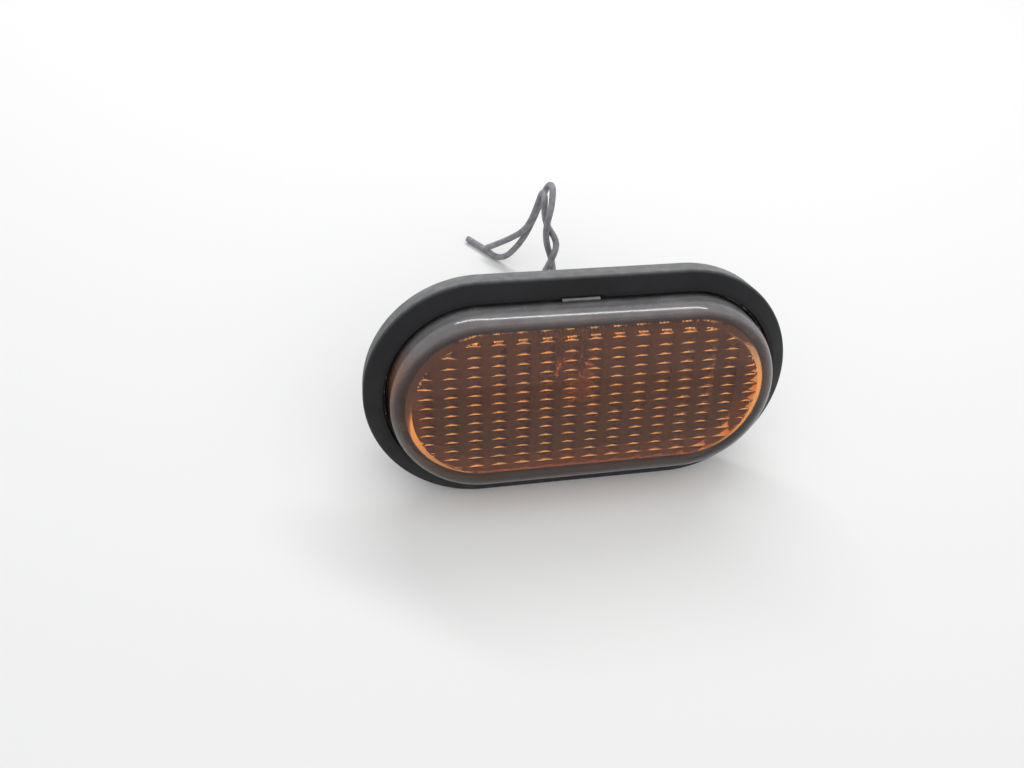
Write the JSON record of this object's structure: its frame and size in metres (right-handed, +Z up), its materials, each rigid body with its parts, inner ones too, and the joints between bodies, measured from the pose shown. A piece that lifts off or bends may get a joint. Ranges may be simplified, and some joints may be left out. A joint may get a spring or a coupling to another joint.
{
  "type": "side repeater lamp",
  "caption": "Oval side repeater lamp for a car wing: smoked amber ribbed lens in a black rubber gasket, tub housing behind, turn-lock bulb holder and cut tail wires.",
  "frame": {"origin": "middle of the gasket's flat seat on the body panel", "axes": "+X along the lamp's length, +Z up as the lamp is shown, +Y into the panel, so the lens faces -Y"},
  "size_m": [0.082, 0.0774, 0.0484],
  "materials": {
    "amber_lens": "smoked amber, polished, faintly scuffed",
    "gasket_rubber": "satin black, a little grey where worn",
    "housing_plastic": "fine satin black",
    "spring_steel": "bright strip",
    "holder_plastic": "satin black",
    "seal_rubber": "matte",
    "cap_plastic": "satin",
    "bulb_glass": "clear",
    "filament_wire": "dark coil",
    "lead_wire": "bright wire",
    "contact_brass": "bright",
    "wire_sheath": "weathered grey sheath"
  },
  "bodies": {
    "root": {"lens": "amber_lens", "gasket": "gasket_rubber", "housing": "housing_plastic", "spring_clip": "spring_steel", "bulb_holder": "holder_plastic", "holder_seal": "seal_rubber", "retainer_cap": "cap_plastic", "bulb_glass": "bulb_glass", "bulb_filament": "filament_wire", "bulb_lead_left": "lead_wire", "bulb_lead_right": "lead_wire", "contact_left": "contact_brass", "contact_right": "contact_brass", "wire_seal_left": "seal_rubber", "wire_seal_right": "seal_rubber", "wire_left": "wire_sheath", "wire_right": "wire_sheath"}
  },
  "joints": []
}
